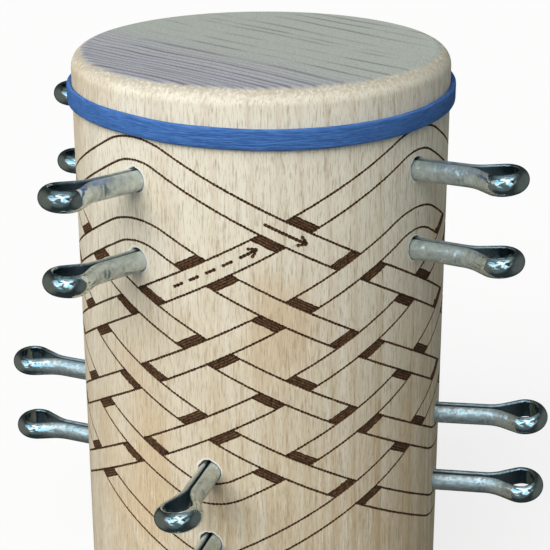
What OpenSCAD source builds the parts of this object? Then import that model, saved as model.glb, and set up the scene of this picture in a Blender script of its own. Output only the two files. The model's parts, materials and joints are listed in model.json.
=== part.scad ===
// Knot-tying loom: a turned wooden mandrel with removable split pins round both ends.
// The weave is laid between the pins, from the top rows to the bottom rows and back.
// Origin: centre of the flat bottom face. +Z is up, along the mandrel's axis.
// The front of the loom faces -Y. Turns are counted from the front towards +X.

/* [Mandrel] */
// Diameter of the wooden mandrel
mandrel_d = 76; // [64:1:90]
// Height of the wooden mandrel
mandrel_h = 127; // [115:1:200]
// Radius of the rounded rims at the top and the bottom
rim_round = 3.2; // [1:0.1:5]

/* [Pin layout] */
// Pins round the mandrel in each row
places = 4; // [3:1:5]
// Turn of the first top pins from the front
top_turn = -38.5; // [-60:0.5:-20]
// Turn of the bottom rows past the top rows, as a share of one pin spacing
bottom_shift = 0.25; // [0:0.05:0.5]
// Depth of the first top row below the top face
first_row_drop = 19; // [17:0.5:24]
// Distance between the two rows of a pair
row_pitch = 15.9; // [14:0.1:18]
// Depth of the first bottom row below the top face
bottom_row_drop = 76.4; // [60:0.1:90]

/* [Split pins] */
// Diameter across the two closed legs
pin_d = 4.4; // [3.8:0.1:5]
// Width of the slit between the legs
slit_w = 0.5; // [0.1:0.05:0.6]
// Outside width of the eye
eye_w = 9.2; // [9:0.1:11]
// Bend radius where the legs leave each other
neck_bend = 9; // [6:0.5:10]
// Length of the long leg, from the neck of the eye
long_leg = 38; // [34:0.5:40]
// Length of the short leg, from the neck of the eye
short_leg = 35.5; // [30:0.5:36]
// How far the tip of the eye stands out of the wood
stick_out = 21.8; // [20:0.1:26]
// How much further in or out some of the pins were pushed
stick_spread = 1.8; // [0:0.1:2]

/* [Pin holes] */
// Slope of the holes, so that the pins rise outwards and hold the cord against the wood
pin_rise = 4; // [0:0.5:6]
// How much more or less steeply some of the bottom rows' holes were drilled
rise_spread = 2; // [0:0.5:2]
// Gap round a pin in its hole
hole_gap = 0.07; // [0.03:0.01:0.1]
// Spare depth of a hole past the end of the long leg
hole_spare = 0.8; // [0.5:0.1:2]

/* [Rubber band] */
// Width of the rubber band
band_w = 3.8; // [2:0.1:6]
// Thickness of the stretched rubber band
band_t = 1.3; // [0.8:0.1:2]
// Depth of the band's middle below the top face
band_drop = 8.9; // [7:0.1:10]
// Gap between the band and the wood
band_gap = 0.05; // [0.02:0.01:0.1]

/* [Hidden] */
$fn = 96;
mandrel_r = mandrel_d / 2;
pin_r = pin_d / 2;
hole_r = pin_r + hole_gap;

// The eye: both legs bend apart at the neck, run straight and meet in the round end.
eye_flare = 25;
eye_bend = eye_w / 2 - pin_r;
flare_run = (eye_bend * cos(eye_flare) - neck_bend * (1 - cos(eye_flare))) / sin(eye_flare);
neck_to_eye = (neck_bend + eye_bend) * sin(eye_flare) + flare_run * cos(eye_flare);

// Half the point angle of the drill that made the holes.
drill_point = 59;

// Rows from the top down: name, height, share of a pin spacing that the row is turned by.
ROWS = [
    ["top_outer_pin", mandrel_h - first_row_drop, 0],
    ["top_inner_pin", mandrel_h - first_row_drop - row_pitch, 0],
    ["bottom_inner_pin", mandrel_h - bottom_row_drop, bottom_shift],
    ["bottom_outer_pin", mandrel_h - bottom_row_drop - row_pitch, bottom_shift]
];

function pin_name(row, place) = str(ROWS[row][0], "_", place + 1);
function pin_turn(row, place) = top_turn + (place + ROWS[row][2]) * 360 / places;

// The holes were drilled and the pins pushed in by hand, so they differ a little.
function hole_rise(row, place) = pin_rise - rise_spread * 4 * ROWS[row][2] * cos(90 * place);
function pin_push(place) = stick_out + stick_spread * sin(90 * place + 40);
function pin_roll(row, place) = round(4 + 8 * sin(90 * place + 420 * ROWS[row][2] - 12 * row - 60));

// Where the legs part, as a distance along the pin's axis from the middle of the mandrel.
function neck_x(place) = mandrel_r + pin_push(place) - pin_r - eye_bend - neck_to_eye;

// Puts its children, drawn along +X with the mandrel's wall at mandrel_r, at one pin's place.
module at_pin(row, place) {
    translate([0, 0, ROWS[row][1]])
        rotate([0, 0, pin_turn(row, place) - 90])
            translate([mandrel_r, 0, 0])
                rotate([0, -hole_rise(row, place), 0])
                    translate([-mandrel_r, 0, 0])
                        children();
}

// A blind hole along +X, for a pin with its neck at the given place, with a drill point at its bottom.
module pin_hole(neck) {
    bottom = neck - long_leg - hole_spare;
    translate([bottom, 0, 0])
        rotate([0, 90, 0])
            cylinder(r = hole_r, h = mandrel_r);
    translate([bottom, 0, 0])
        rotate([0, -90, 0])
            cylinder(r1 = hole_r, r2 = 0, h = hole_r / tan(drill_point));
}

module rounded_rim(height) {
    translate([0, 0, height])
        rotate_extrude()
            translate([mandrel_r - rim_round, 0])
                circle(r = rim_round);
}

module mandrel() {
    color([0.87, 0.79, 0.62])
        difference() {
            union() {
                cylinder(r = mandrel_r - rim_round, h = mandrel_h);
                translate([0, 0, rim_round])
                    cylinder(r = mandrel_r, h = mandrel_h - 2 * rim_round);
                rounded_rim(rim_round);
                rounded_rim(mandrel_h - rim_round);
            }
            for (row = [0:3])
                for (place = [0:places - 1])
                    at_pin(row, place)
                        pin_hole(neck_x(place));
        }
}

// The band's section has small round corners.
module band_section() {
    corner = band_t / 4;
    translate([0, corner])
        square([band_t, band_w - 2 * corner]);
    translate([corner, 0])
        square([band_t - 2 * corner, band_w]);
    for (x = [corner, band_t - corner])
        for (y = [corner, band_w - corner])
            translate([x, y])
                circle(r = corner);
}

module rubber_band() {
    color([0.2, 0.37, 0.68])
        translate([0, 0, mandrel_h - band_drop - band_w / 2])
            rotate_extrude()
                translate([mandrel_r + band_gap, 0])
                    band_section();
}

// Half-round wire, with its round side towards +X and its flat side on the slit.
module wire_section() {
    intersection() {
        circle(r = pin_r);
        translate([slit_w / 2, -pin_r])
            square([pin_r, pin_d]);
    }
}

// A straight length of the wire along +X. What follows is drawn from its far end.
module straight(length) {
    rotate([90, 0, 90])
        linear_extrude(height = length)
            wire_section();
    translate([length, 0, 0])
        children();
}

// A bend towards +Y, with the round side of the wire on the inside of the bend.
module bend_left(bend, angle) {
    translate([0, bend, 0]) {
        rotate([0, 0, -90])
            rotate_extrude(angle = angle)
                translate([bend, 0])
                    mirror([1, 0])
                        wire_section();
        rotate([0, 0, angle])
            translate([0, -bend, 0])
                children();
    }
}

// A bend towards -Y, with the flat side of the wire on the inside of the bend.
module bend_right(bend, angle) {
    mirror([0, 1, 0])
        translate([0, bend, 0]) {
            rotate([0, 0, -90])
                rotate_extrude(angle = angle)
                    translate([bend, 0])
                        wire_section();
            rotate([0, 0, angle])
                translate([0, -bend, 0])
                    mirror([0, 1, 0])
                        children();
        }
}

// One length of half-round wire: up the long leg, round the eye and back down the short leg.
module split_pin(roll, neck) {
    color([0.72, 0.74, 0.76])
        rotate([roll, 0, 0])
            translate([neck - long_leg, 0, 0])
                straight(long_leg)
                bend_left(neck_bend, eye_flare)
                straight(flare_run)
                bend_right(eye_bend, 180 + 2 * eye_flare)
                straight(flare_run)
                bend_left(neck_bend, eye_flare)
                straight(short_leg);
}

mandrel();
rubber_band();
for (row = [0:3])
    for (place = [0:places - 1])
        at_pin(row, place)
                split_pin(pin_roll(row, place), neck_x(place));
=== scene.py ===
"""Looks of the knot-tying loom: wood, burnt weave guide, split pins and rubber band on the CAD frame."""

import json
import math
import random
from types import SimpleNamespace

import bpy
import numpy as np
from mathutils import Matrix, Vector, noise
from mathutils.geometry import delaunay_2d_cdt


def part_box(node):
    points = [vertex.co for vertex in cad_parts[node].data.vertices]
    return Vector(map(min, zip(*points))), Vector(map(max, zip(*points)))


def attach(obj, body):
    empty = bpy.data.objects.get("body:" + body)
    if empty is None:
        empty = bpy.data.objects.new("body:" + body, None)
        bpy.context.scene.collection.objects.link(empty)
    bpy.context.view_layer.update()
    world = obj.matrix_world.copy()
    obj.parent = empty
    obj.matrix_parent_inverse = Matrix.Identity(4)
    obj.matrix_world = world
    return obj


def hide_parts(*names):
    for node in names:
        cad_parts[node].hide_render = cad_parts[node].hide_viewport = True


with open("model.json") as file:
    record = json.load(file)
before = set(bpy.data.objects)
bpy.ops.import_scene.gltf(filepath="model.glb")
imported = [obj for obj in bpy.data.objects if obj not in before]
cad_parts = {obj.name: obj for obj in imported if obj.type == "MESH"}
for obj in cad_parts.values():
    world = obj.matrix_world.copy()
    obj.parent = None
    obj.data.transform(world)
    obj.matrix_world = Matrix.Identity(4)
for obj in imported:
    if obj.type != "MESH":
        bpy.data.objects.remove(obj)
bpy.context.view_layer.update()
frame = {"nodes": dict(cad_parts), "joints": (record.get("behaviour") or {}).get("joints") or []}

# Everything below is in millimetres until a mesh is made.
MM = 0.001

# ---------------------------------------------------------------- sizes

# The mandrel's size comes from its CAD node.
_low, _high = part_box("mandrel")
WOOD_R = (_high.x - _low.x) / 2 / MM
TOP = _high.z / MM
RIM = 3.2
LAP = 2 * math.pi * WOOD_R
SEGMENTS = 144

# Pins: half-round wire, two legs back to back.
WIRE_R = 2.2
SLIT = 0.5
EYE_BEND = 2.4
NECK_BEND = 9.0
EYE_FLARE = math.radians(25)
_flare_out = EYE_BEND * math.cos(EYE_FLARE) - NECK_BEND * (1 - math.cos(EYE_FLARE))
FLARE_RUN = _flare_out / math.sin(EYE_FLARE)
NECK_TO_EYE = (NECK_BEND + EYE_BEND) * math.sin(EYE_FLARE) + FLARE_RUN * math.cos(EYE_FLARE)
SHORTER_LEG = 2.5
WIRE_LAND = 0.94 * WIRE_R
WIRE_CORNER = 0.45
CRIMP_PLACES = (-0.6, 0.4)
CRIMP_WIDTH = 0.28
CRIMP_DEPTH = 0.2
DENTED_BEYOND = 1.0
WIRE_WAVE = 0.02
RUBBED_FROM = 3.5
RUBBED_RUN = 3.5

# Pin holes: blind, with a splintered mouth and the cone that the drill leaves.
HOLE_R = WIRE_R + 0.07
HOLE_SPARE = 0.8
MOUTH_DEPTH = 0.7
MID_RING_DEPTH = 6.0
TORN_ZONE = 0.5
DRILL_POINT = math.radians(59)

# Splinters: how wide they are all round a hole, how ragged, and how much is torn out on one side.
CHIP_LEAST = 0.05
CHIP_RAGGED = 0.12
CHIP_TORN = 0.8
CHIP_SIDE = math.radians(125)

# Weave guide: four pin columns a quarter of the lap apart, two rows at each end.
PLACES = 4
PIN_SPACING = LAP / PLACES
COLUMN = PIN_SPACING / 4
ROW_PITCH = 15.9
FIRST_APEX = TOP - 11.2
LANE_HALF = 2.2
BIGHT_R = 12.5
SLOPE = math.atan2(2 * ROW_PITCH, PIN_SPACING)
CROSSING = math.pi - 2 * SLOPE
LINE_HALF = 0.225
LINE_STEP = 0.36
BEAD_SWELL = 0.2
BEAD_ROUGH = 0.14
BEAD_DRIFT = 0.03
BURN_BEVEL = 0.1
BURN_DEPTH = 0.2
# A groove's depth as a share of BURN_DEPTH: what the palest has, and what the blackest has on top of it.
PALE_DEPTH_SHARE = 0.35
BLACK_DEPTH_SHARE = 0.75
CHAR_THICKNESS = 0.06
BLOCK_DEPTH = 1.8
STREAK_PITCH = 0.26

# Points of the flat drawing closer than this are one point.
SNAP = 1e-4

# Rubber band: how far its middle wanders from the CAD ring's, and its share of the ring's size.
BAND_WAVE = 0.5
BAND_WAVE_START = 3.94
BAND_RISE = 0.35
BAND_WIDTH_SHARE = 1.06
BAND_THICKNESS_SHARE = 0.76
BAND_GAP = 0.05
BAND_CORNER_SHARE = 0.42
BAND_STEPS = 180


def pin_facts(name):
    """Where a CAD pin lies: its axis, its roll, and where it starts and ends along the axis.

    Distances along the axis are counted so that the axis meets the mandrel's wall at WOOD_R.
    """
    joint = next(j for j in frame["joints"] if j["child"] == name)
    axis = Vector(joint["axis"]).normalized()
    turn, rise = math.atan2(axis.x, -axis.y), math.asin(axis.z)
    level = Vector((math.cos(turn), math.sin(turn), 0))
    up = axis.cross(level)
    corners = np.array([v.co for v in frame["nodes"][name].data.vertices]) / MM
    lift = corners @ np.array(up)
    middle = (lift.min() + lift.max()) / 2
    height = (middle + WOOD_R * math.sin(rise)) / math.cos(rise)
    base = Vector((WOOD_R * math.sin(turn), -WOOD_R * math.cos(turn), height)) - WOOD_R * axis
    along = corners @ np.array(axis) - base.dot(axis)
    side, lift = corners @ np.array(level), lift - middle
    widest = np.argmax(side ** 2 + lift ** 2)
    sign = 1 if side[widest] > 0 else -1
    return {
        "turn": turn,
        "rise": rise,
        "height": height,
        "roll": math.atan2(sign * lift[widest], sign * side[widest]),
        "axis": axis,
        "level": level,
        "up": up,
        "base": base,
        "leg_end": along.min(),
        "tip": along.max(),
    }


PINS = {name: pin_facts(name) for name in sorted(frame["nodes"]) if "_pin_" in name}
TOP_TURN = min((p["turn"] for n, p in PINS.items() if n.startswith("top_outer")), key=abs)


# ---------------------------------------------------------------- mesh helpers

def on_wall(u, z, depth=0.0):
    """A point of the unrolled side wall, u round it and z up it, wrapped onto the cylinder."""
    r = WOOD_R - depth
    return (r * math.sin(u / WOOD_R), -r * math.cos(u / WOOD_R), z)


def outward(u):
    """The wall's normal at u."""
    return (math.sin(u / WOOD_R), -math.cos(u / WOOD_R), 0.0)


def make_piece(name, points, faces, material, normals=None, values=None):
    """A mesh object from points in mm, with a normal per face corner and named values per point."""
    mesh = bpy.data.meshes.new(name)
    mesh.from_pydata([tuple(c * MM for c in p) for p in points], [], faces)
    mesh.materials.append(material)
    for key, numbers in (values or {}).items():
        mesh.attributes.new(key, "FLOAT", "POINT").data.foreach_set("value", np.array(numbers, np.float32))
    if normals is not None:
        mesh.polygons.foreach_set("use_smooth", np.ones(len(faces), bool))
        mesh.normals_split_custom_set(normals)
    mesh.validate()
    piece = bpy.data.objects.new(name, mesh)
    bpy.context.scene.collection.objects.link(piece)
    return piece


# ---------------------------------------------------------------- the weave guide's outlines

class Sketch:
    """Outlines drawn on the unrolled wall. Each is repeated one lap away where it crosses the seam.

    burns says how dark each point is burnt, from 0 to 1, or None where the drawing doesn't say.
    """

    def __init__(self):
        self.points, self.burns, self.edges, self.faces, self.kinds = [], [], [], [], []

    def _copies(self, points):
        us = [u for u, _ in points]
        for lap in (-LAP, 0.0, LAP):
            if max(us) + lap > -LAP / 2 and min(us) + lap < LAP / 2:
                yield [(u + lap, z) for u, z in points]

    def line(self, points, burns):
        for copy in self._copies(points):
            start = len(self.points)
            self.points += copy
            self.burns += burns
            self.edges += [(i, i + 1) for i in range(start, len(self.points) - 1)]

    def outline(self, points, kind, burns=None):
        burns = burns or [None] * len(points)
        area = sum(a[0] * b[1] - b[0] * a[1] for a, b in zip(points, points[1:] + points[:1]))
        if area < 0:
            points, burns = points[::-1], burns[::-1]
        for copy in self._copies(points):
            start = len(self.points)
            self.points += copy
            self.burns += burns
            self.faces.append(list(range(start, len(self.points))))
            self.kinds.append(kind)


def sampled(path, step):
    """The points of a polyline, a step apart, with the direction of travel at each."""
    out = []
    for (u0, z0), (u1, z1) in zip(path, path[1:]):
        length = math.hypot(u1 - u0, z1 - z0)
        count = max(1, round(length / step))
        way = ((u1 - u0) / length, (z1 - z0) / length)
        out += [((u0 + (u1 - u0) * i / count, z0 + (z1 - z0) * i / count), way) for i in range(count)]
    return out + [(path[-1], out[-1][1])]


def burn_line(sketch, path, rng, half=LINE_HALF):
    """One burnt line: beaded along its length, as the laser's steps leave it."""
    beads = sampled(path, LINE_STEP)
    left, right, left_floor, right_floor, burns = [], [], [], [], []
    for i, ((u, z), (cu, cz)) in enumerate(beads):
        wide = i % 2
        swell = BEAD_SWELL if wide else -BEAD_SWELL
        width = half * (1 + swell + rng.uniform(-BEAD_ROUGH, BEAD_ROUGH))
        burns.append(rng.uniform(0.7, 1.0) if wide else rng.uniform(0.15, 0.6))
        drift = rng.uniform(-BEAD_DRIFT, BEAD_DRIFT)
        for side, rim, floor in ((1, left, left_floor), (-1, right, right_floor)):
            for reach, points in ((width, rim), (width - BURN_BEVEL, floor)):
                offset = side * reach + drift
                points.append((u - cz * offset, z + cu * offset))
    sketch.outline(left + right[::-1], "burn")
    sketch.outline(left_floor + right_floor[::-1], "floor", burns + burns[::-1])


def skew(centre, over, under, a, b):
    """The point a along one strand and b along the other from the place where they cross."""
    return (centre[0] + a * over[0] + b * under[0], centre[1] + a * over[1] + b * under[1])


def burn_block(sketch, centre, over, under, side, rng):
    """The dark block where a strand dips under another, with streaks along its long side."""
    scale = 1 / math.sin(CROSSING)
    half = LANE_HALF * scale
    near, far = LANE_HALF * scale, (LANE_HALF + BLOCK_DEPTH) * scale
    rough = 0.1
    count = round(2 * half / LINE_STEP)
    for kind, inset in (("burn", 0.0), ("floor", BURN_BEVEL)):
        a0, b0, b1 = half - inset + LINE_HALF * 0.8, near + inset, far - inset
        outer = [(a0 - 2 * a0 * i / count, b1 + rng.uniform(-rough, rough)) for i in range(count + 1)]
        corners = [(-a0, b0), (a0, b0)] + outer
        sketch.outline([skew(centre, over, under, a, side * b) for a, b in corners], kind)
    rows = int((BLOCK_DEPTH - 0.5) / STREAK_PITCH) + 1
    for row in range(rows):
        b = near + (0.3 + row * STREAK_PITCH) * scale
        reach = half - BURN_BEVEL - rng.uniform(0.1, 0.5)
        points = []
        for i in range(count + 1):
            a = reach - 2 * reach * i / count
            points.append(skew(centre, over, under, a, side * (b + rng.uniform(-0.04, 0.04))))
        ridge = row % 2 == 0
        sketch.line(points, [rng.uniform(0.0, 0.45) if ridge else rng.uniform(0.75, 1.0) for _ in points])


def strand(start_column, start_row, lean, columns):
    """A strand's centre line: its first apex, its direction, and the crossings that it dips under.

    lean is 1 for a strand that runs down towards +u and -1 for one that runs down towards -u. Crossings are
    numbered from the top in half pitches, and the strand that leans to 1 is on top in the even columns.
    """
    u0 = TOP_TURN * WOOD_R + start_column * COLUMN
    z0 = FIRST_APEX - start_row * ROW_PITCH
    way = (lean * math.cos(SLOPE), -math.sin(SLOPE))
    dips = []
    for k in range(1, columns):
        crossed = 2 <= 2 * start_row + k <= 9
        even = (start_column + lean * k) % 2 == 0
        if crossed and even != (lean == 1):
            dips.append((u0 + lean * k * COLUMN, z0 - k * ROW_PITCH / 2))
    return (u0, z0), way, dips


def bight(apex, lean, offset, down):
    """The half bend from a pin's centre line to a strand's straight run, as points on one of its edges."""
    r = BIGHT_R + offset
    side = 1 if down else -1
    centre = (apex[0], apex[1] - side * BIGHT_R / math.cos(SLOPE))
    count = max(3, round(r * SLOPE / LINE_STEP))
    turns = [SLOPE * i / count for i in range(count + 1)]
    return [(centre[0] + lean * r * math.sin(a), centre[1] + side * r * math.cos(a)) for a in turns]


def draw_strand(sketch, start_column, start_row, lean, columns, rng):
    """Both edges of a strand and the blocks beside each strand that passes over it."""
    top, way, dips = strand(start_column, start_row, lean, columns)
    foot = (top[0] + lean * columns * COLUMN, top[1] - columns * ROW_PITCH / 2)
    over = (-way[0], way[1])
    scale = 1 / math.sin(CROSSING)
    for edge in (1, -1):
        normal = (-way[1] * edge * LANE_HALF * lean, way[0] * edge * LANE_HALF * lean)
        upper = bight(top, lean, edge * LANE_HALF, True)
        lower = bight(foot, -lean, -edge * LANE_HALF, False)[::-1]
        path = upper
        along = normal[0] * over[0] + normal[1] * over[1]
        a = LANE_HALF * scale * (1 if along > 0 else -1)
        for dip in dips:
            path = path + [skew(dip, over, way, a, -LANE_HALF * scale)]
            burn_line(sketch, path, rng)
            path = [skew(dip, over, way, a, LANE_HALF * scale)]
        burn_line(sketch, path + lower, rng)
    for dip in dips:
        burn_block(sketch, dip, over, way, 1, rng)
        burn_block(sketch, dip, over, way, -1, rng)


def draw_arrow(sketch, tail, way, length, dashes, rng):
    """A plain arrow along a strand: solid where the cord goes over, dashed where it goes under."""
    head, spread, half = 1.9, math.radians(32), 0.3
    share = 0.62 if dashes > 1 else 1.0
    for i in range(dashes):
        a = length * i / dashes
        b = a + share * length / dashes if i < dashes - 1 else length
        burn_line(sketch, [(tail[0] + way[0] * t, tail[1] + way[1] * t) for t in (a, b)], rng, half)
    tip = (tail[0] + way[0] * length, tail[1] + way[1] * length)
    for turn in (math.pi - spread, math.pi + spread):
        cos, sin = math.cos(turn), math.sin(turn)
        barb = (way[0] * cos - way[1] * sin, way[0] * sin + way[1] * cos)
        start = (tip[0] - barb[0] * 0.15, tip[1] - barb[1] * 0.15)
        burn_line(sketch, [start, (tip[0] + barb[0] * head, tip[1] + barb[1] * head)], rng, half)


def draw_weave(sketch, rng):
    """Every strand: each top pin has one towards each side, which runs down to a bottom pin."""
    for place in range(PLACES):
        column = 4 * place
        draw_strand(sketch, column, 0, 1, 9, rng)
        draw_strand(sketch, column, 1, 1, 9, rng)
        draw_strand(sketch, column, 0, -1, 11, rng)
        draw_strand(sketch, column, 1, -1, 7, rng)


def draw_arrows(sketch, rng):
    """The over and under marks beside the first crossing, between the two front columns of pins."""
    crossing = (TOP_TURN * WOOD_R + 2 * COLUMN, FIRST_APEX - ROW_PITCH)
    down_right = (math.cos(SLOPE), -math.sin(SLOPE))
    up_right = (math.cos(SLOPE), math.sin(SLOPE))
    over_length, under_length, under_gap = 9.0, 18.5, 6.0
    back = over_length / 2
    tail = (crossing[0] - down_right[0] * back, crossing[1] - down_right[1] * back)
    draw_arrow(sketch, tail, down_right, over_length, 1, rng)
    back = under_gap + under_length
    tail = (crossing[0] - up_right[0] * back, crossing[1] - up_right[1] * back)
    draw_arrow(sketch, tail, up_right, under_length, 5, rng)


# ---------------------------------------------------------------- the mandrel

def chip(pin, angle):
    """How far the wood has splintered from a hole's edge, most on its upper left side."""
    place = Vector((math.cos(angle) * 1.7, math.sin(angle) * 1.7, pin["height"] + pin["turn"] * 7))
    ragged = 0.5 + 0.5 * noise.noise(place * 1.9)
    upper_left = max(0.0, math.cos(angle - CHIP_SIDE))
    return CHIP_LEAST + CHIP_RAGGED * ragged + CHIP_TORN * upper_left ** 2 * ragged


def hole_outline(pin, spare, count=44):
    """A hole's edge on the unrolled wall, spare mm outside its splintered rim."""
    points = []
    for i in range(count):
        angle = 2 * math.pi * i / count
        r = HOLE_R + chip(pin, angle) + spare
        points.append((
            WOOD_R * (pin["turn"] + math.asin(r * math.cos(angle) / WOOD_R)),
            pin["height"] + r * math.sin(angle),
        ))
    return points


def wall_sketch():
    """The side wall as one flat drawing: meridians, burnt marks and pin holes."""
    rng = random.Random(7)
    sketch = Sketch()
    draw_weave(sketch, rng)
    draw_arrows(sketch, rng)
    for pin in PINS.values():
        sketch.outline(hole_outline(pin, 0.0), "hole")
        sketch.outline(hole_outline(pin, TORN_ZONE), "torn")
    low, high = RIM, TOP - RIM
    start = len(sketch.points)
    for i in range(SEGMENTS + 1):
        u = LAP * (i / SEGMENTS - 0.5)
        sketch.points += [(u, low), (u, high)]
        sketch.burns += [None, None]
        a = start + 2 * i
        sketch.edges.append((a, a + 1))
        if i < SEGMENTS:
            sketch.edges += [(a, a + 2), (a + 1, a + 3)]
    return sketch


def triangulate(sketch):
    """Points, triangles and burns of the wall, with the kinds of outline that each triangle lies in."""
    points = [Vector(p) for p in sketch.points]
    found = delaunay_2d_cdt(points, sketch.edges, sketch.faces, 0, SNAP)
    flat = [(p.x, p.y) for p in found[0]]
    triangles, kinds = [], []
    for tri, sources in zip(found[2], found[5]):
        u = sum(flat[i][0] for i in tri) / 3
        z = sum(flat[i][1] for i in tri) / 3
        if abs(u) < LAP / 2 and RIM < z < TOP - RIM:
            triangles.append(tuple(tri))
            kinds.append({sketch.kinds[f] for f in sources})
    burns = []
    for sources in found[3]:
        drawn = [sketch.burns[i] for i in sources if sketch.burns[i] is not None]
        burns.append(min(drawn) if drawn else None)
    return flat, triangles, kinds, burns


class Shell:
    """Points, faces and corner normals of one mesh, in mm.

    mouth is 1 on the torn edge of a pin hole, -1 inside the hole, where the wood gets painted shade, and 0
    elsewhere.
    """

    def __init__(self):
        self.points, self.faces, self.normals, self.mouth = [], [], [], []

    def add(self, point, mouth=0.0):
        self.points.append(point)
        self.mouth.append(mouth)
        return len(self.points) - 1

    def face(self, corners, normals):
        self.faces.append(tuple(corners))
        self.normals += normals

    def strip(self, lower, upper, lower_normals, upper_normals):
        """Quads between two closed rings of one length, facing out when the rings run counter-clockwise."""
        for i in range(len(lower)):
            j = (i + 1) % len(lower)
            self.face(
                (lower[i], lower[j], upper[j], upper[i]),
                [lower_normals[i], lower_normals[j], upper_normals[j], upper_normals[i]],
            )


def seam_partners(flat, used):
    """Which point on the seam's left edge each point on its right edge coincides with."""
    left = sorted((flat[i][1], i) for i in used if abs(flat[i][0] + LAP / 2) < 10 * SNAP)
    right = sorted((flat[i][1], i) for i in used if abs(flat[i][0] - LAP / 2) < 10 * SNAP)
    if len(left) != len(right):
        raise ValueError(f"the seam's edges have {len(left)} and {len(right)} points")
    return {r: l for (_, l), (_, r) in zip(left, right)}


def bore(shell, pin, loop, flat, index):
    """The splintered rim, wall and drilled bottom of one pin hole. loop runs round the hole on the wall."""
    axis, level, up, base = pin["axis"], pin["level"], pin["up"], pin["base"]
    bottom = pin["leg_end"] - HOLE_SPARE
    angles = []
    for i in loop:
        side = WOOD_R * math.sin(flat[i][0] / WOOD_R - pin["turn"])
        angles.append(math.atan2(flat[i][1] - pin["height"], side))
    spokes = [level * math.cos(a) + up * math.sin(a) for a in angles]
    inward = [tuple(-s) for s in spokes]
    before = [index[i] for i in loop]
    before_normals = [outward(flat[i][0]) for i in loop]
    mouth = []
    for angle in angles:
        wall = math.sqrt(WOOD_R ** 2 - (HOLE_R * math.cos(angle)) ** 2)
        mouth.append(wall - MOUTH_DEPTH + HOLE_R * math.sin(angle) * math.tan(pin["rise"]))
    for places in (mouth, [WOOD_R - MID_RING_DEPTH] * len(loop), [bottom] * len(loop)):
        ring = [shell.add(tuple(base + axis * x + s * HOLE_R), -1.0) for x, s in zip(places, spokes)]
        shell.strip(before, ring, before_normals, inward)
        before, before_normals = ring, inward
    tip = shell.add(tuple(base + axis * (bottom - HOLE_R / math.tan(DRILL_POINT))))
    for i in range(len(before)):
        j = (i + 1) % len(before)
        shell.face((before[i], before[j], tip), [tuple(axis)] * 3)


def hole_loops(triangles, kinds):
    """Closed rings of wall points round the holes, in order, with the hole on their left."""
    # A dict and not a set, so that the sides keep their order.
    sides = {}
    for tri, kind in zip(triangles, kinds):
        if "hole" in kind:
            sides.update(dict.fromkeys(zip(tri, tri[1:] + tri[:1])))
    nexts = {a: b for a, b in sides if (b, a) not in sides}
    loops = []
    while nexts:
        first = next(iter(nexts))
        loop, at = [], first
        while at in nexts:
            loop.append(at)
            at = nexts.pop(at)
        loops.append(loop)
    return loops


def rim_ring(shell, height, rise, angle):
    """One ring of a rounded rim, angle past the side wall, with its normals."""
    r = WOOD_R - RIM + RIM * math.cos(angle)
    z = height + rise * RIM * math.sin(angle)
    ring, normals = [], []
    for i in range(SEGMENTS):
        u = LAP * (i / SEGMENTS - 0.5)
        x, y, _ = outward(u)
        ring.append(shell.add((r * x, r * y, z)))
        normals.append((x * math.cos(angle), y * math.cos(angle), rise * math.sin(angle)))
    return ring, normals


def rim_and_face(shell, edge, height, rise):
    """The rounded rim beyond one end of the wall, and the flat face inside it."""
    ring = edge
    normals = [outward(LAP * (i / SEGMENTS - 0.5)) for i in range(SEGMENTS)]

    def join(next_ring, next_normals):
        lower, upper = (ring, next_ring) if rise > 0 else (next_ring, ring)
        low_n, up_n = (normals, next_normals) if rise > 0 else (next_normals, normals)
        shell.strip(lower, upper, low_n, up_n)

    steps = 8
    for step in range(1, steps + 1):
        next_ring, next_normals = rim_ring(shell, height, rise, math.pi / 2 * step / steps)
        join(next_ring, next_normals)
        ring, normals = next_ring, next_normals
    flat_normals = [(0.0, 0.0, float(rise))] * SEGMENTS
    normals = flat_normals
    for share in (0.75, 0.5, 0.25):
        r, z = (WOOD_R - RIM) * share, height + rise * RIM
        next_ring = []
        for i in range(SEGMENTS):
            x, y, _ = outward(LAP * (i / SEGMENTS - 0.5))
            next_ring.append(shell.add((r * x, r * y, z)))
        join(next_ring, flat_normals)
        ring = next_ring
    middle = shell.add((0.0, 0.0, height + rise * RIM))
    for i in range(SEGMENTS):
        j = (i + 1) % SEGMENTS
        corners = (ring[i], ring[j], middle) if rise > 0 else (ring[j], ring[i], middle)
        shell.face(corners, [(0.0, 0.0, float(rise))] * 3)


def measure_wall():
    """The triangulated wall, its seam and hole edges, and how dark and deep each burnt point is."""
    wall = SimpleNamespace()
    wall.flat, wall.triangles, wall.kinds, burns = triangulate(wall_sketch())
    wall.used = sorted({i for tri in wall.triangles for i in tri})
    wall.partner = seam_partners(wall.flat, wall.used)
    wall.holes = hole_loops(wall.triangles, wall.kinds)
    rng = random.Random(11)
    deep = set()
    for tri, kind in zip(wall.triangles, wall.kinds):
        if "floor" in kind:
            deep.update(wall.partner.get(i, i) for i in tri)
    wall.burnt = {i: rng.uniform(0.6, 1.0) if burns[i] is None else burns[i] for i in sorted(deep)}
    wall.depth = {
        i: BURN_DEPTH * (PALE_DEPTH_SHARE + BLACK_DEPTH_SHARE * burn) for i, burn in wall.burnt.items()
    }
    return wall


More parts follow.
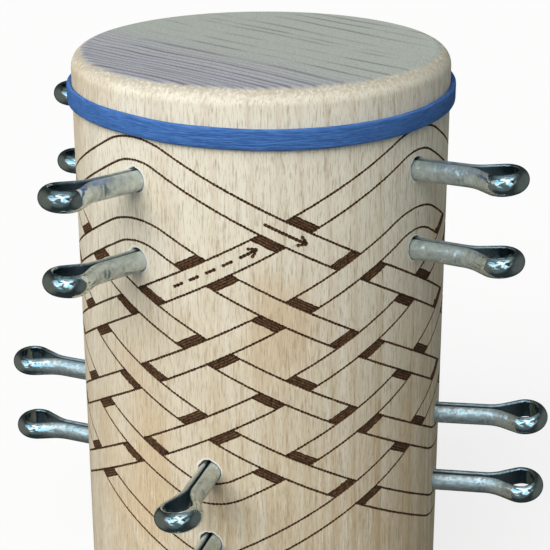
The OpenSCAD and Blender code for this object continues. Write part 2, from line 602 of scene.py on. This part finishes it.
def build_mandrel(wall, wood):
    """The wooden body with its burnt grooves, pin holes, rims and end faces."""
    hole_edge = {i for loop in wall.holes for i in loop}
    body = Shell()
    index = {}
    for i in wall.used:
        if i not in wall.partner:
            groove = wall.depth[i] + CHAR_THICKNESS if i in wall.depth else 0.0
            index[i] = body.add(on_wall(*wall.flat[i], groove), 1.0 if i in hole_edge else 0.0)
    for right, left in wall.partner.items():
        index[right] = index[left]
    for tri, kind in zip(wall.triangles, wall.kinds):
        if "hole" not in kind:
            body.face([index[i] for i in tri], [outward(wall.flat[i][0]) for i in tri])
    for loop in wall.holes:
        u, z = wall.flat[loop[0]]
        pin = min(PINS.values(), key=lambda p: abs(p["turn"] * WOOD_R - u) + abs(p["height"] - z))
        bore(body, pin, loop, wall.flat, index)
    for rise, height in ((1, TOP - RIM), (-1, RIM)):
        ends = [i for i in wall.used if i not in wall.partner and abs(wall.flat[i][1] - height) < 10 * SNAP]
        found = sorted((wall.flat[i][0], index[i]) for i in ends)
        rim_and_face(body, [i for _, i in found], height, rise)
    return make_piece("mandrel_wood", body.points, body.faces, wood, body.normals, {"mouth": body.mouth})


def build_guide(wall, char):
    """The layer of char that lines the grooves: an outer and an inner skin that meet at the edges."""
    lining = Shell()
    dark, outer, inner = [], {}, {}
    for tri, kind in zip(wall.triangles, wall.kinds):
        corners = [wall.partner.get(i, i) for i in tri]
        if not kind & {"burn", "floor"} or not any(i in wall.depth for i in corners):
            continue
        for i in corners:
            if i not in outer:
                outer[i] = inner[i] = lining.add(on_wall(*wall.flat[i], wall.depth.get(i, 0.0)))
                dark.append(wall.burnt.get(i, 0.0))
                if i in wall.depth:
                    inner[i] = lining.add(on_wall(*wall.flat[i], wall.depth[i] + CHAR_THICKNESS))
                    dark.append(1.0)
        lining.faces.append(tuple(outer[i] for i in corners))
        lining.faces.append(tuple(inner[i] for i in reversed(corners)))
    return make_piece("burnt_weave_guide", lining.points, lining.faces, char, None, {"dark": dark})


# ---------------------------------------------------------------- split pins

def wire_section():
    """Half-round wire with squared edges, as (towards the round side, across, normal) going round it."""
    flat, turns, arc = SLIT / 2, 5, 14
    limit = math.asin(WIRE_LAND / WIRE_R)
    points = []
    for i in range(arc + 1):
        a = limit * (2 * i / arc - 1)
        points.append((WIRE_R * math.cos(a), WIRE_R * math.sin(a), math.cos(a), math.sin(a)))
    for side in (1, -1):
        cx, cy = flat + WIRE_CORNER, side * (WIRE_LAND - WIRE_CORNER)
        turn = []
        for i in range(turns + 1):
            cos, sin = math.cos(math.pi / 2 * (1 + i / turns)), side * math.sin(math.pi / 2 * (1 + i / turns))
            turn.append((cx + WIRE_CORNER * cos, cy + WIRE_CORNER * sin, cos, sin))
        points += turn if side == 1 else turn[::-1]
    return points


class Route:
    """The wire's route in the pin's own plane, as stops of (distance, x, y, heading)."""

    def __init__(self, x):
        self.s, self.x, self.y, self.heading = 0.0, x, 0.0, 0.0
        self.stops = [(self.s, self.x, self.y, self.heading)]

    def _step(self, chord, length):
        self.x += math.cos(self.heading) * chord
        self.y += math.sin(self.heading) * chord
        self.s += length

    def _stop(self):
        self.stops.append((self.s, self.x, self.y, self.heading))

    def straight(self, length, step):
        count = max(1, round(length / step))
        for _ in range(count):
            self._step(length / count, length / count)
            self._stop()

    def bend(self, radius, angle, count):
        chord = 2 * radius * math.sin(abs(angle) / count / 2)
        for _ in range(count):
            self.heading += angle / count / 2
            self._step(chord, radius * abs(angle) / count)
            self.heading += angle / count / 2
            self._stop()


def leg_runs(length):
    """The straight runs of a leg, and how far apart the stops of each are: closest by the neck."""
    middle, fine = 10, 2
    return [(length - (middle + fine), 3.0), (middle, 1.0), (fine, 0.2)]


def pin_route(pin):
    """Up the long leg, round the eye and back down the short leg, and where along the axis the neck is.

    x runs along the pin's axis and y across the eye. Stops are closest by the crimp marks and round the eye.
    """
    neck = pin["tip"] - WIRE_R - EYE_BEND - NECK_TO_EYE
    long_leg = neck - pin["leg_end"]
    route = Route(pin["leg_end"])
    for length, step in leg_runs(long_leg):
        route.straight(length, step)
    route.bend(NECK_BEND, EYE_FLARE, 10)
    route.straight(FLARE_RUN, 0.5)
    route.bend(EYE_BEND, -(math.pi + 2 * EYE_FLARE), 44)
    route.straight(FLARE_RUN, 0.5)
    route.bend(NECK_BEND, EYE_FLARE, 10)
    for length, step in reversed(leg_runs(long_leg - SHORTER_LEG)):
        route.straight(length, step)
    return route.stops, neck


def crimp_depth(x, neck, y):
    """Two small tool marks on the outside of each leg, by the neck, fading out across the wire."""
    marks = sum(CRIMP_DEPTH * math.exp(-((x - neck - at) / CRIMP_WIDTH) ** 2) for at in CRIMP_PLACES)
    return marks * max(0.0, 1 - abs(y) * 1.6)


def build_pin(name, steel):
    """One split pin, swept along its wire.

    The attribute "rubbed" is 1 on the eye and 0 by the wood. "inside" is 1 on the wire's flat side, where it
    gets painted shade.
    """
    pin = PINS[name]
    route, neck = pin_route(pin)
    seed = pin["height"] * 0.37 + pin["turn"] * 3
    axis, base = pin["axis"], pin["base"]
    across = pin["level"] * math.cos(pin["roll"]) + pin["up"] * math.sin(pin["roll"])
    through = axis.cross(across)
    shell = Shell()
    rings, ways, rubbed, inside = [], [], [], []
    section = wire_section()
    for s, x, y, h in route:
        left = (-math.sin(h), math.cos(h))
        ring, way = [], []
        for p, q, np_, nq in section:
            dent, tilt = 0.0, 0.0
            if p > DENTED_BEYOND:
                before, dent, after = (crimp_depth(x + d, neck, q / WIRE_R) for d in (-0.05, 0.0, 0.05))
                tilt = (after - before) / 0.1
            soft = WIRE_WAVE * noise.noise(Vector((s * 0.35, q * 0.5, seed + p)))
            shrink = 1 - (dent + abs(soft)) / WIRE_R
            p, q = p * shrink if p > 0.4 else p, q * shrink
            spot = base + axis * (x + left[0] * p) + across * (y + left[1] * p) + through * q
            ring.append(shell.add(tuple(spot)))
            normal = axis * (left[0] * np_ + tilt) + across * (left[1] * np_) + through * nq
            way.append(tuple(normal.normalized()))
            inside.append(max(0.0, -np_))
            rubbed.append(min(1.0, max(0.0, (x - neck - RUBBED_FROM) / RUBBED_RUN)))
        rings.append(ring)
        ways.append(way)
    for a in range(len(rings) - 1):
        shell.strip(rings[a], rings[a + 1], ways[a], ways[a + 1])
    for ring, (_, _, _, h), side in ((rings[0], route[0], -1), (rings[-1], route[-1], 1)):
        way = tuple(side * (axis * math.cos(h) + across * math.sin(h)))
        shell.face(ring[::-1] if side < 0 else ring, [way] * len(ring))
    values = {"rubbed": rubbed, "inside": inside}
    return make_piece(name + "_steel", shell.points, shell.faces, steel, shell.normals, values)


# ---------------------------------------------------------------- rubber band

def build_band(rubber):
    """The stretched band: a flat section with soft edges, lying a little unevenly round the wood."""
    low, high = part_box("rubber_band")
    outer = high.x / MM
    inner = WOOD_R + BAND_GAP
    middle, width = (low.z + high.z) / 2 / MM, (high.z - low.z) / MM
    thick = outer - inner
    shell = Shell()
    rings, profile = [], []
    corner, steps = BAND_CORNER_SHARE * thick, 5
    for cx, cz, start in ((1, 1, 0), (-1, 1, 90), (-1, -1, 180), (1, -1, 270)):
        for i in range(steps + 1):
            a = math.radians(start + 90 * i / steps)
            profile.append((cx, cz, math.cos(a), math.sin(a)))
    for i in range(BAND_STEPS):
        turn = 2 * math.pi * i / BAND_STEPS
        here = Vector((math.sin(turn) * 1.6, -math.cos(turn) * 1.6, 0))
        lift = BAND_RISE + BAND_WAVE * math.sin(turn * 2 + BAND_WAVE_START) + 0.12 * noise.noise(here * 2.2)
        w = width * (BAND_WIDTH_SHARE + 0.05 * noise.noise(here * 1.7 + Vector((5, 0, 0))))
        t = thick * (BAND_THICKNESS_SHARE + 0.1 * noise.noise(here * 1.3 + Vector((0, 9, 0))))
        ring = []
        for cx, cz, ca, sa in profile:
            swell = 1 - 0.12 * (sa * sa)
            r = inner + t / 2 + cx * (t / 2 - corner) + corner * ca
            z = middle + lift + cz * (w / 2 - corner) + corner * sa
            if cx > 0:
                r += 0.05 * t * noise.noise(Vector((turn * 12, z * 1.2, 3))) * swell
            ring.append(shell.add((r * math.sin(turn), -r * math.cos(turn), z)))
        rings.append(ring)
    count = len(profile)
    for i in range(BAND_STEPS):
        j = (i + 1) % BAND_STEPS
        for k in range(count):
            m = (k + 1) % count
            shell.faces.append((rings[i][k], rings[j][k], rings[j][m], rings[i][m]))
    band = make_piece("rubber_band_blue", shell.points, shell.faces, rubber)
    band.data.polygons.foreach_set("use_smooth", np.ones(len(band.data.polygons), bool))
    return band


# ---------------------------------------------------------------- materials

class Nodes:
    """A short way to write the node tree of a new material, or of the world when tree is given."""

    def __init__(self, name=None, tree=None, place="Object"):
        if tree is None:
            self.material = bpy.data.materials.new(name)
            self.material.use_nodes = True
            tree = self.material.node_tree
            self.shader = tree.nodes["Principled BSDF"]
        self.tree = tree
        self.place = tree.nodes.new("ShaderNodeTexCoord").outputs[place]

    def put(self, kind, inputs=(), **settings):
        node = self.tree.nodes.new("ShaderNode" + kind)
        for key, value in settings.items():
            setattr(node, key, value)
        for key, value in dict(inputs).items():
            socket = node.inputs[key]
            if isinstance(value, bpy.types.NodeSocket):
                self.tree.links.new(value, socket)
            else:
                socket.default_value = value
        return node

    def math(self, operation, a, b=0.0, clamp=False):
        return self.put("Math", {0: a, 1: b}, operation=operation, use_clamp=clamp).outputs[0]

    def scaled(self, vector, scale):
        return self.put("VectorMath", {0: vector, 1: scale}, operation="MULTIPLY").outputs[0]

    def noise(self, vector, scale, detail=2.0, roughness=0.5, distortion=0.0):
        inputs = {"Vector": vector, "Scale": scale, "Detail": detail}
        inputs.update({"Roughness": roughness, "Distortion": distortion})
        return self.put("TexNoise", inputs).outputs["Fac"]

    def ramp(self, value, low, high):
        """From 0 at low to 1 at high, smoothly."""
        inputs = {"Value": value, "From Min": low, "From Max": high}
        return self.put("MapRange", inputs, interpolation_type="SMOOTHSTEP").outputs[0]

    def spread(self, value, low, high, start=0.0, end=1.0):
        """A value from start to end, spread evenly from low to high."""
        inputs = {"Value": value, "From Min": start, "From Max": end, "To Min": low, "To Max": high}
        return self.put("MapRange", inputs).outputs[0]

    def mix(self, factor, a, b, blend="MIX"):
        node = self.put("Mix", data_type="RGBA", blend_type=blend)
        for socket, value in ((node.inputs[0], factor), (node.inputs[6], a), (node.inputs[7], b)):
            if isinstance(value, bpy.types.NodeSocket):
                self.tree.links.new(value, socket)
            else:
                socket.default_value = value
        return node.outputs[2]

    def attribute(self, name):
        return self.put("Attribute", attribute_name=name).outputs["Fac"]

    def set(self, **sockets):
        for key, value in sockets.items():
            socket = self.shader.inputs[key.replace("_", " ")]
            if isinstance(value, bpy.types.NodeSocket):
                self.tree.links.new(value, socket)
            else:
                socket.default_value = value

    def bump(self, height, distance, strength=1.0):
        inputs = {"Height": height, "Distance": distance, "Strength": strength}
        self.set(Normal=self.put("Bump", inputs).outputs[0])


def srgb(r, g, b):
    """A display colour, 0 to 255, as linear light."""
    def linear(c):
        c /= 255
        return c / 12.92 if c <= 0.04045 else ((c + 0.055) / 1.055) ** 2.4
    return (linear(r), linear(g), linear(b), 1.0)


def ring_lines(m, ring_place, pitch, width):
    """Thin growth rings, pitch mm apart."""
    inputs = {"W": m.math("MULTIPLY", ring_place, 1 / pitch), "Scale": 1.0}
    cells = m.put("TexVoronoi", inputs, voronoi_dimensions="1D", feature="DISTANCE_TO_EDGE")
    return m.ramp(cells.outputs["Distance"], width, 0.0)


def wood_grain(m):
    """What the wood's colours share: the place in the block, its rings, its fibres and its pores."""
    g = SimpleNamespace()
    mm = m.scaled(m.place, (1000, 1000, 1000))
    x, y, g.z = m.put("SeparateXYZ", {0: mm}).outputs
    drift = m.noise(m.scaled(mm, (0.025, 0.025, 0.01)), 1.0, 2.0)
    g.across = m.math("MULTIPLY", m.math("ADD", x, y), 0.7071)
    ring_place = m.math("ADD", g.across, m.math("MULTIPLY", drift, 5.0))
    ring_place = m.math("ADD", ring_place, m.math("MULTIPLY", g.z, 0.03))
    g.bold = ring_lines(m, ring_place, 4.6, 0.17)
    g.faint = ring_lines(m, ring_place, 1.7, 0.3)
    inputs = {"W": m.math("MULTIPLY", ring_place, 0.4), "Scale": 1.0, "Detail": 3.0}
    g.tone = m.put("TexNoise", inputs, noise_dimensions="1D").outputs["Fac"]
    g.fleck = m.noise(m.scaled(mm, (2.4, 2.4, 0.2)), 1.0, 3.0, 0.6)
    g.fibre = m.noise(m.scaled(mm, (4.6, 4.6, 0.5)), 1.0, 2.0, 0.6)
    g.patch = m.noise(m.scaled(mm, (0.05, 0.05, 0.02)), 1.0, 2.0)
    g.pores = m.noise(mm, 2.6, 2.0, 0.6)
    g.fuzz = m.noise(m.scaled(mm, (1.5, 1.5, 1.1)), 1.0, 4.0, 0.7)
    g.cloud = m.noise(m.scaled(mm, (0.06, 0.06, 0.06)), 1.0, 2.0)
    g.radius = m.math("SQRT", m.math("ADD", m.math("MULTIPLY", x, x), m.math("MULTIPLY", y, y)))
    g.off_middle = m.math("ABSOLUTE", m.math("SUBTRACT", g.z, TOP / 2))
    wander = m.math("MULTIPLY", m.math("SUBTRACT", m.noise(mm, 0.5, 3.0, 0.6), 0.5), 1.6)
    g.edge = m.math("ADD", g.radius, wander)
    return g


def side_color(m, g):
    """Long grain: paler towards the top, with warm patches, faint rings and fine dark flecks."""
    paler = m.ramp(g.z, TOP - 95, TOP + 5)
    color = m.mix(paler, srgb(212, 193, 160), srgb(247, 241, 222))
    color = m.mix(m.math("MULTIPLY", m.ramp(g.tone, 0.35, 0.65), 0.5), color, srgb(250, 244, 228))
    color = m.mix(m.math("MULTIPLY", m.ramp(g.patch, 0.52, 0.72), 0.5), color, srgb(216, 184, 138))
    color = m.mix(m.math("MULTIPLY", g.bold, 0.2), color, srgb(186, 156, 116))
    color = m.mix(m.math("MULTIPLY", m.ramp(g.fleck, 0.54, 0.68), 0.42), color, srgb(152, 132, 98))
    color = m.mix(m.math("MULTIPLY", m.ramp(g.fleck, 0.44, 0.3), 0.45), color, srgb(254, 248, 236))
    return m.mix(m.math("MULTIPLY", m.ramp(g.fibre, 0.48, 0.74), 0.5), color, srgb(164, 142, 106))


def end_color(m, g):
    """End grain: grey green, violet grey towards the heart, with dark rings and fine pores."""
    heart = m.ramp(g.across, -2.0, -24.0)
    color = m.mix(heart, srgb(182, 190, 182), srgb(184, 186, 198))
    color = m.mix(m.math("MULTIPLY", m.ramp(g.tone, 0.35, 0.65), 0.35), color, srgb(190, 192, 184))
    strength = m.math("MULTIPLY", m.ramp(g.cloud, 0.3, 0.65), 0.65)
    color = m.mix(m.math("MULTIPLY", g.bold, strength), color, srgb(98, 95, 98))
    color = m.mix(m.math("MULTIPLY", g.faint, m.math("MULTIPLY", heart, 0.6)), color, srgb(108, 104, 120))
    color = m.mix(m.math("MULTIPLY", m.ramp(g.pores, 0.46, 0.7), 0.4), color, srgb(118, 118, 112))
    return m.mix(m.math("MULTIPLY", m.ramp(g.pores, 0.46, 0.26), 0.4), color, srgb(204, 206, 200))


def rim_color(m, g, color, rim):
    """The rounded rims: sanded to a pale fuzz, and greyer with painted shade where they turn towards the end
    face.
    """
    color = m.mix(m.math("MULTIPLY", rim, m.ramp(g.fuzz, 0.4, 0.72)), color, srgb(248, 245, 234))
    hollow = m.math("MULTIPLY", m.ramp(g.fuzz, 0.44, 0.3), 0.7)
    color = m.mix(m.math("MULTIPLY", rim, hollow), color, srgb(206, 190, 160))
    # Painted shade: the rims are painted greyer where they turn towards the end face.
    painted_rim_shade = m.ramp(g.off_middle, TOP / 2 - 2.4, TOP / 2 - 0.2)
    return m.mix(m.math("MULTIPLY", painted_rim_shade, m.ramp(g.fuzz, 0.8, 0.4)), color, srgb(190, 182, 164))


def wood_material():
    """Bare poplar, as a solid block: growth rings, long fibres, and end grain where they are cut across."""
    m = Nodes("wood_poplar")
    g = wood_grain(m)
    near_end = m.ramp(g.off_middle, TOP / 2 - 1.4, TOP / 2 - 0.3)
    is_end = m.math("MULTIPLY", near_end, m.ramp(g.edge, WOOD_R - 1.6, WOOD_R - 2.6))
    near_rim = m.ramp(g.off_middle, TOP / 2 - 3.6, TOP / 2 - 0.8)
    rim = m.math("MULTIPLY", near_rim, m.ramp(g.edge, WOOD_R - 4.0, WOOD_R - 2.4))
    color = m.mix(is_end, rim_color(m, g, side_color(m, g), rim), end_color(m, g))
    mouth = m.attribute("mouth")
    color = m.mix(m.ramp(mouth, 0.0, 1.0), color, srgb(250, 247, 240))
    # Painted shade: the inside of each pin hole is painted dark brown.
    color = m.mix(m.ramp(mouth, 0.0, -1.0), color, srgb(58, 46, 36))
    rough = m.spread(g.fleck, 0.58, 0.8, 0.2, 0.8)
    m.set(Base_Color=color, Roughness=rough, Specular_IOR_Level=0.3)
    height = m.math("ADD", m.math("MULTIPLY", g.fibre, 0.6), m.math("MULTIPLY", g.fleck, 0.8))
    height = m.math("ADD", height, m.math("MULTIPLY", m.math("MULTIPLY", g.fuzz, rim), 2.4))
    height = m.math("ADD", height, m.math("MULTIPLY", m.math("MULTIPLY", g.pores, is_end), 0.8))
    m.bump(height, 0.0001, 0.6)
    return m.material


def char_material():
    """Laser-burnt wood: toasted at the edges and ridges, nearly black in the grooves."""
    m = Nodes("burnt_wood")
    mm = m.scaled(m.place, (1000, 1000, 1000))
    grit = m.noise(mm, 2.2, 3.0, 0.6)
    dark = m.math("ADD", m.attribute("dark"), m.math("MULTIPLY", m.math("SUBTRACT", grit, 0.5), 1.2))
    color = m.mix(m.ramp(dark, -0.2, 0.35), srgb(150, 114, 84), srgb(98, 73, 52))
    color = m.mix(m.ramp(dark, 0.35, 0.95), color, srgb(46, 33, 25))
    m.set(Base_Color=color, Roughness=m.spread(grit, 0.75, 0.98), Specular_IOR_Level=0.15)
    m.bump(grit, 0.00008)
    return m.material


def steel_material():
    """Zinc plate over drawn wire: bright on the rubbed eye, spotted by the wood, with painted shade on the
    flat side.
    """
    m = Nodes("bright_zinc")
    mm = m.scaled(m.place, (1000, 1000, 1000))
    wave = m.noise(mm, 0.35, 2.0, 0.5)
    grit = m.noise(mm, 3.5, 3.0, 0.6)
    dull = m.noise(mm, 0.8, 4.0, 0.65)
    rubbed = m.attribute("rubbed")
    spots = m.math("MULTIPLY", m.ramp(dull, 0.5, 0.66), m.math("SUBTRACT", 1.0, rubbed))
    color = m.mix(m.ramp(dull, 0.3, 0.7), srgb(214, 226, 228), srgb(196, 210, 212))
    color = m.mix(m.math("MULTIPLY", spots, 0.3), color, srgb(160, 170, 168))
    # Painted shade: the wire's flat side is painted a dark blue grey, for the shade and dark reflections
    # inside the eye.
    color = m.mix(m.math("MULTIPLY", m.attribute("inside"), 0.8), color, srgb(84, 110, 124))
    plain = m.spread(dull, 0.24, 0.4, 0.25, 0.75)
    polish = m.spread(rubbed, 1.0, 0.36)
    m.set(Base_Color=color, Metallic=m.spread(rubbed, 0.84, 1.0), Roughness=m.math("MULTIPLY", plain, polish))
    wrinkles = m.math("MULTIPLY", m.math("SUBTRACT", 1.0, rubbed), m.noise(mm, 0.7, 1.0, 0.5, 0.6))
    height = m.math("ADD", wave, m.math("MULTIPLY", grit, 0.05))
    height = m.math("ADD", height, m.math("MULTIPLY", wrinkles, 0.7))
    m.bump(height, 0.0004, 0.5)
    return m.material


def rubber_material():
    """Blue rubber, rubbed pale in streaks along its length."""
    m = Nodes("blue_rubber")
    mm = m.scaled(m.place, (1000, 1000, 1000))
    streak = m.noise(m.scaled(mm, (0.2, 0.2, 3.6)), 1.0, 4.0, 0.65)
    fine = m.noise(m.scaled(mm, (0.6, 0.6, 5.0)), 1.0, 3.0, 0.6)
    speck = m.noise(m.scaled(mm, (0.8, 0.8, 1.6)), 1.4, 4.0, 0.75)
    color = m.mix(m.ramp(streak, 0.3, 0.7), srgb(56, 100, 168), srgb(82, 132, 204))
    color = m.mix(m.math("MULTIPLY", m.ramp(fine, 0.52, 0.74), 0.45), color, srgb(110, 156, 220))
    color = m.mix(m.math("MULTIPLY", m.ramp(fine, 0.46, 0.3), 0.5), color, srgb(34, 70, 136))
    color = m.mix(m.math("MULTIPLY", m.ramp(speck, 0.66, 0.76), 0.7), color, srgb(186, 206, 234))
    m.set(Base_Color=color, Roughness=m.spread(streak, 0.5, 0.78), Specular_IOR_Level=0.35)
    m.bump(m.math("ADD", streak, m.math("MULTIPLY", fine, 0.8)), 0.0003, 0.8)
    return m.material


# ---------------------------------------------------------------- camera, floor and light

def look(position, right, up, forward):
    """The matrix of a camera that looks forward from a position."""
    matrix = Matrix((right, up, -forward)).transposed().to_4x4()
    matrix.translation = position
    return matrix


# The camera's place in metres, in front of the mandrel's axis and above its top, as fitted to the photograph.
CAMERA_AWAY = 0.298
CAMERA_ABOVE = 0.064
CAMERA_PITCH = math.radians(19.49)
CAMERA_ROLL = math.radians(-0.31)
CAMERA_LENS = 98.74
CAMERA_SENSOR = 36
CAMERA_SHIFT = (0.0236, -0.0636)


def build_camera():
    """The loom seen from in front and about 20 degrees above, its foot below the picture."""
    forward = Vector((0, math.cos(CAMERA_PITCH), -math.sin(CAMERA_PITCH)))
    right = Vector((1, 0, 0))
    up = right.cross(forward)
    tilted = right * math.cos(CAMERA_ROLL) + up * math.sin(CAMERA_ROLL)
    camera = bpy.data.objects.new("camera", bpy.data.cameras.new("camera"))
    place = Vector((0, -CAMERA_AWAY, TOP * MM + CAMERA_ABOVE))
    camera.matrix_world = look(place, tilted, tilted.cross(forward), forward)
    camera.data.lens = CAMERA_LENS
    camera.data.sensor_width = CAMERA_SENSOR
    camera.data.shift_x, camera.data.shift_y = CAMERA_SHIFT
    camera.data.clip_start = 0.01
    bpy.context.scene.collection.objects.link(camera)
    bpy.context.scene.camera = camera


# The floor's white is partly reflected light and partly its own glow.
FLOOR_SHADE = 0.22
FLOOR_GLOW = 0.78


def build_floor():
    """A plain pale floor, wide enough for every view. It glows, so that shadows on it stay light."""
    half = 4000
    corners = [(-half, -half, 0), (half, -half, 0), (half, half, 0), (-half, half, 0)]
    m = Nodes("floor_paper")
    m.set(Base_Color=(FLOOR_SHADE, FLOOR_SHADE, FLOOR_SHADE, 1.0), Roughness=0.9, Specular_IOR_Level=0.0)
    m.set(Emission_Color=(1.0, 1.0, 1.0, 1.0), Emission_Strength=FLOOR_GLOW)
    floor = make_piece("floor", corners, [(0, 1, 2, 3)], m.material)
    floor.visible_glossy = False
    floor.visible_diffuse = False


def direction(turn, rise):
    """The unit vector towards a light, turn degrees from the front towards +X and rise degrees up."""
    a, e = math.radians(turn), math.radians(rise)
    return Vector((math.sin(a) * math.cos(e), -math.cos(a) * math.cos(e), math.sin(e)))


# What the metal reflects: the turn and rise of each lit patch of the room, its half width and its colour.
PATCHES = (
    (10, 84, 34, srgb(124, 140, 144)),
    (-20, 2, 44, srgb(100, 112, 114)),
    (-95, -5, 46, srgb(112, 112, 104)),
    (95, -5, 46, srgb(96, 100, 96)),
)
# A window in front, broken up by what stands before it.
WINDOW = (-12, 38, 44)
PANE_SCALE = 2.5
GLASS = srgb(255, 255, 255)
SKY = srgb(150, 214, 246)
WINDOW_GLOW = 1.9
ROOM = srgb(50, 55, 56)

# Light on a white surface that faces it squarely, as a share of full white.
AMBIENT = (0.232, 0.244, 0.24)
KEY = 0.98
# The key light's direction in degrees, how broad it looks, and its colour.
KEY_TURN = -33
KEY_RISE = 42
KEY_WIDTH = math.radians(50)
KEY_COLOR = (1.0, 0.985, 0.965)


def build_world():
    """Dim even light from all round, a white backdrop, and a dark room with a bright window in the metal."""
    world = bpy.data.worlds.new("studio")
    world.use_nodes = True
    bpy.context.scene.world = world
    w = Nodes(tree=world.node_tree, place="Generated")

    def patch(turn, rise, half_width):
        facing = w.put("VectorMath", {0: w.place, 1: direction(turn, rise)}, operation="DOT_PRODUCT")
        edge = [math.cos(math.radians(half_width * share)) for share in (1.3, 0.6)]
        return w.ramp(facing.outputs["Value"], *edge)

    room = ROOM
    for turn, rise, half_width, color in PATCHES:
        room = w.mix(patch(turn, rise, half_width), room, color)
    panes = w.ramp(w.noise(w.place, PANE_SCALE, 1.0), 0.46, 0.54)
    glass = w.mix(w.ramp(w.noise(w.place, PANE_SCALE * 1.3, 0.0), 0.45, 0.6), GLASS, SKY)
    glass = w.mix(1.0, glass, (WINDOW_GLOW, WINDOW_GLOW, WINDOW_GLOW, 1.0), "MULTIPLY")
    room = w.mix(w.math("MULTIPLY", patch(*WINDOW), panes), room, glass)
    rays = w.put("LightPath").outputs
    seen = w.mix(rays["Is Glossy Ray"], AMBIENT + (1.0,), room)
    seen = w.mix(rays["Is Camera Ray"], seen, (1.0, 1.0, 1.0, 1.0))
    w.tree.links.new(seen, w.tree.nodes["Background"].inputs["Color"])


def build_key():
    """A broad soft light from the left front, far enough away to fall evenly on the floor."""
    light = bpy.data.lights.new("key", "SUN")
    light.energy, light.angle, light.color = KEY * math.pi, KEY_WIDTH, KEY_COLOR
    away = direction(KEY_TURN, KEY_RISE)
    lamp = bpy.data.objects.new("key", light)
    lamp.location = away
    lamp.rotation_euler = away.to_track_quat("Z", "Y").to_euler()
    bpy.context.scene.collection.objects.link(lamp)
    lamp.visible_glossy = False


# ---------------------------------------------------------------- assembly

def assemble():
    """Every piece, with the CAD node that it replaces, the body that it rides on and its material."""
    wood, char, steel, rubber = wood_material(), char_material(), steel_material(), rubber_material()
    wall = measure_wall()
    mandrel = build_mandrel(wall, wood)
    guide = build_guide(wall, char)
    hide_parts("mandrel")
    for piece, slot in ((mandrel, "wood"), (guide, "burn")):
        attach(piece, "mandrel")
    band = build_band(rubber)
    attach(band, "rubber_band")
    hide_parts("rubber_band")
    for name in PINS:
        pin = build_pin(name, steel)
        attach(pin, name)
        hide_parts(name)


build_camera()
assemble()
build_floor()
build_world()
build_key()
bpy.context.scene.view_settings.view_transform = "Standard"
